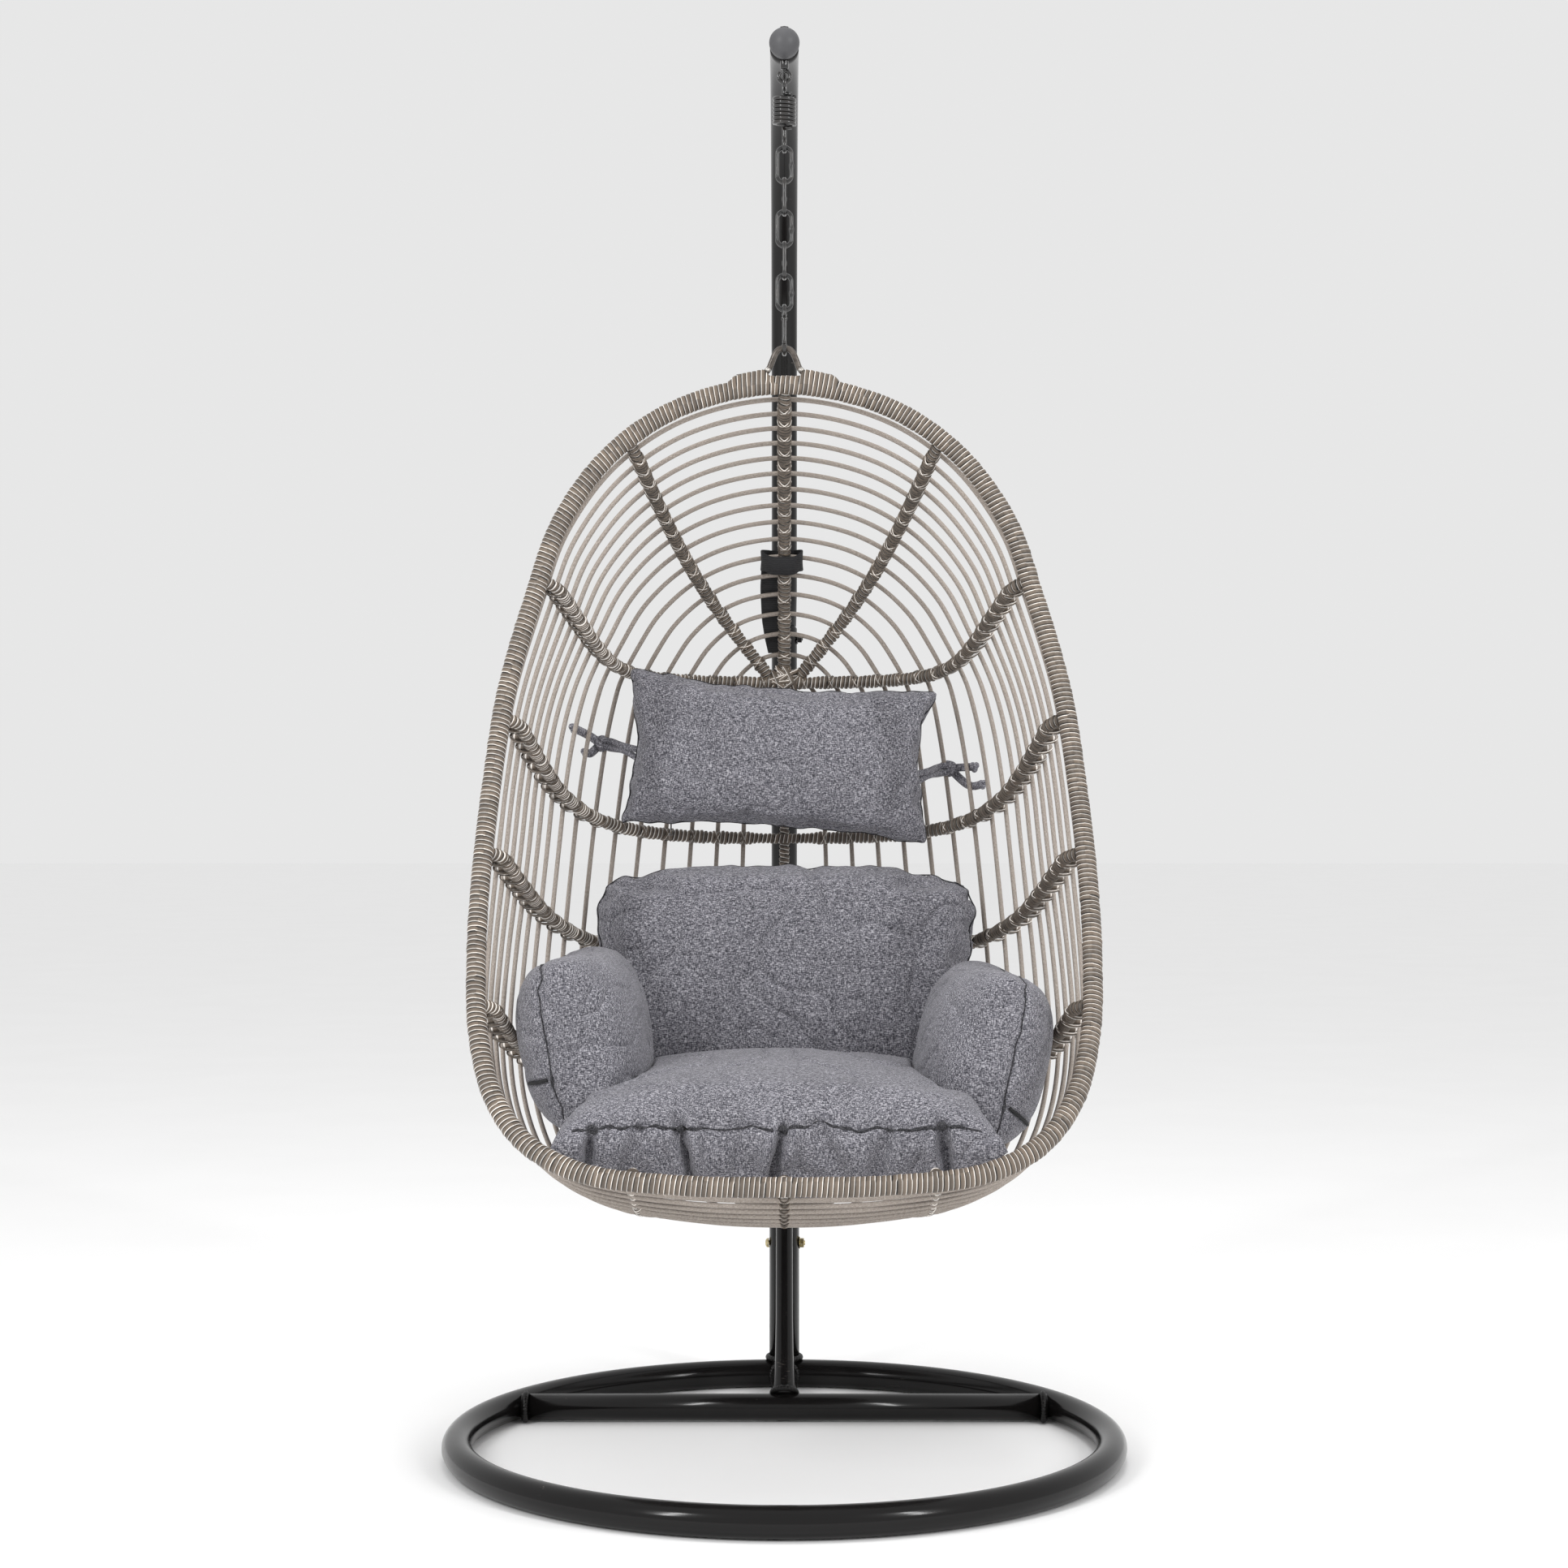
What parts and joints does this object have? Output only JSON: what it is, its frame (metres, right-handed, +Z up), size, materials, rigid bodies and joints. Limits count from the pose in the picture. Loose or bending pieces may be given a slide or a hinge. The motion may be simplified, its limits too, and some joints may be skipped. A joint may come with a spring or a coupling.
{
  "type": "hanging egg chair",
  "caption": "Hanging egg-shaped basket chair of wrapped rods with loose cushions, on a chain and spring under an arched tube stand with a ring base.",
  "frame": {"origin": "centre of the whole chair's footprint, on the ground", "axes": "+Z up; -Y is the way the sitter looks; +X is to the right of someone who faces the seat"},
  "size_m": [0.9522, 1.0554, 1.9874],
  "materials": {
    "frame_paint": "gloss black powder coat",
    "zinc_plate": "yellow zinc plate",
    "cap_plastic": "moulded grey",
    "chain_paint": "satin black",
    "resin_wrap": "grey-taupe flat strand, wrapped",
    "resin_rod": "light taupe, grained",
    "bare_steel": "dull, coated",
    "cushion_cloth": "grey-blue melange linen weave",
    "webbing": "black webbing"
  },
  "bodies": {
    "stand": {"base_ring": "frame_paint", "crossbar": "frame_paint", "spine_tube": "frame_paint", "mast_stub": "frame_paint", "mast_middle": "frame_paint", "mast_spigot": "frame_paint", "mast_arch": "frame_paint", "brace": "frame_paint", "stub_bolt": "zinc_plate", "stub_nut": "zinc_plate", "mast_bolt": "zinc_plate", "mast_nut": "zinc_plate", "end_cap": "cap_plastic"},
    "hanger": {"hanger_hook": "chain_paint", "hanger_nut": "chain_paint"},
    "spring_upper": {"spring_top_loop": "chain_paint", "spring_coil": "chain_paint"},
    "spring_lower": {"spring_bottom_loop": "chain_paint"},
    "link_1": {"chain_link_1": "chain_paint"},
    "link_2": {"chain_link_2": "chain_paint"},
    "link_3": {"chain_link_3": "chain_paint"},
    "link_4": {"chain_link_4": "chain_paint"},
    "link_5": {"chain_link_5": "chain_paint"},
    "snap_hook": {"snap_hook_body": "chain_paint"},
    "snap_gate": {"snap_hook_gate": "chain_paint"},
    "basket": {"rim": "resin_wrap", "centre_rib": "resin_wrap", "cross_rib_1": "resin_wrap", "cross_rib_2": "resin_wrap", "cross_rib_3": "resin_wrap", "cross_rib_4": "resin_wrap", "diagonal_rib_right": "resin_wrap", "diagonal_rib_left": "resin_wrap", "seat_rib_right": "resin_wrap", "seat_rib_left": "resin_wrap", "rod_01": "resin_rod", "rod_02": "resin_rod", "rod_03": "resin_rod", "rod_04": "resin_rod", "rod_05": "resin_rod", "rod_06": "resin_rod", "rod_07": "resin_rod", "rod_08": "resin_rod", "rod_09": "resin_rod", "rod_10": "resin_rod", "rod_11": "resin_rod", "rod_12": "resin_rod", "rod_13": "resin_rod", "rod_14": "resin_rod", "rod_15": "resin_rod", "rod_16": "resin_rod", "rod_17": "resin_rod", "hanging_loop": "bare_steel", "arm_bolster_right": "cushion_cloth", "arm_bolster_left": "cushion_cloth", "seat_cushion": "cushion_cloth", "back_cushion": "cushion_cloth", "head_cushion": "cushion_cloth", "anti_swing_strap": "webbing"}
  },
  "joints": [
    {"name": "chair_turn", "type": "hinge", "parent": "stand", "child": "hanger", "pos_m": [0, -0.0725, 1.962], "axis": [0, 0, 1], "range_deg": [-45, 45]},
    {"name": "swing_fore_aft", "type": "hinge", "parent": "hanger", "child": "spring_upper", "pos_m": [0, -0.0725, 1.913], "axis": [1, 0, 0], "range_deg": [-20, 4]},
    {"name": "spring_stretch", "type": "slide", "parent": "spring_upper", "child": "spring_lower", "axis": [0, 0, -1], "range_m": [0, 0.03], "stiffness_N_per_m": 30000, "springref_m": -0.006, "deforming": ["spring_coil"]},
    {"name": "chain_swing_1", "type": "hinge", "parent": "spring_lower", "child": "link_1", "pos_m": [0, -0.0725, 1.8172], "axis": [0, 1, 0], "range_deg": [-12, 12]},
    {"name": "chain_swing_2", "type": "hinge", "parent": "link_1", "child": "link_2", "pos_m": [0, -0.0725, 1.773], "axis": [-1, 0, 0], "range_deg": [-4, 15]},
    {"name": "chain_swing_3", "type": "hinge", "parent": "link_2", "child": "link_3", "pos_m": [0, -0.0725, 1.7286], "axis": [0, -1, 0], "range_deg": [-12, 12]},
    {"name": "chain_swing_4", "type": "hinge", "parent": "link_3", "child": "link_4", "pos_m": [0, -0.0725, 1.6842], "axis": [1, 0, 0], "range_deg": [-15, 4]},
    {"name": "chain_swing_5", "type": "hinge", "parent": "link_4", "child": "link_5", "pos_m": [0, -0.0725, 1.6398], "axis": [0, 1, 0], "range_deg": [-12, 12]},
    {"name": "hook_swing", "type": "hinge", "parent": "link_5", "child": "snap_hook", "pos_m": [0, -0.0725, 1.5954], "axis": [-1, 0, 0], "range_deg": [-4, 15]},
    {"name": "basket_rock", "type": "hinge", "parent": "snap_hook", "child": "basket", "pos_m": [0, -0.0725, 1.543], "axis": [1, 0, 0], "range_deg": [-15, 4]},
    {"name": "gate_open", "type": "hinge", "parent": "snap_hook", "child": "snap_gate", "pos_m": [0, -0.0835, 1.584], "axis": [1, 0, 0], "range_deg": [0, 20], "stiffness_Nm_per_rad": 0.02, "springref_deg": -5.73}
  ]
}
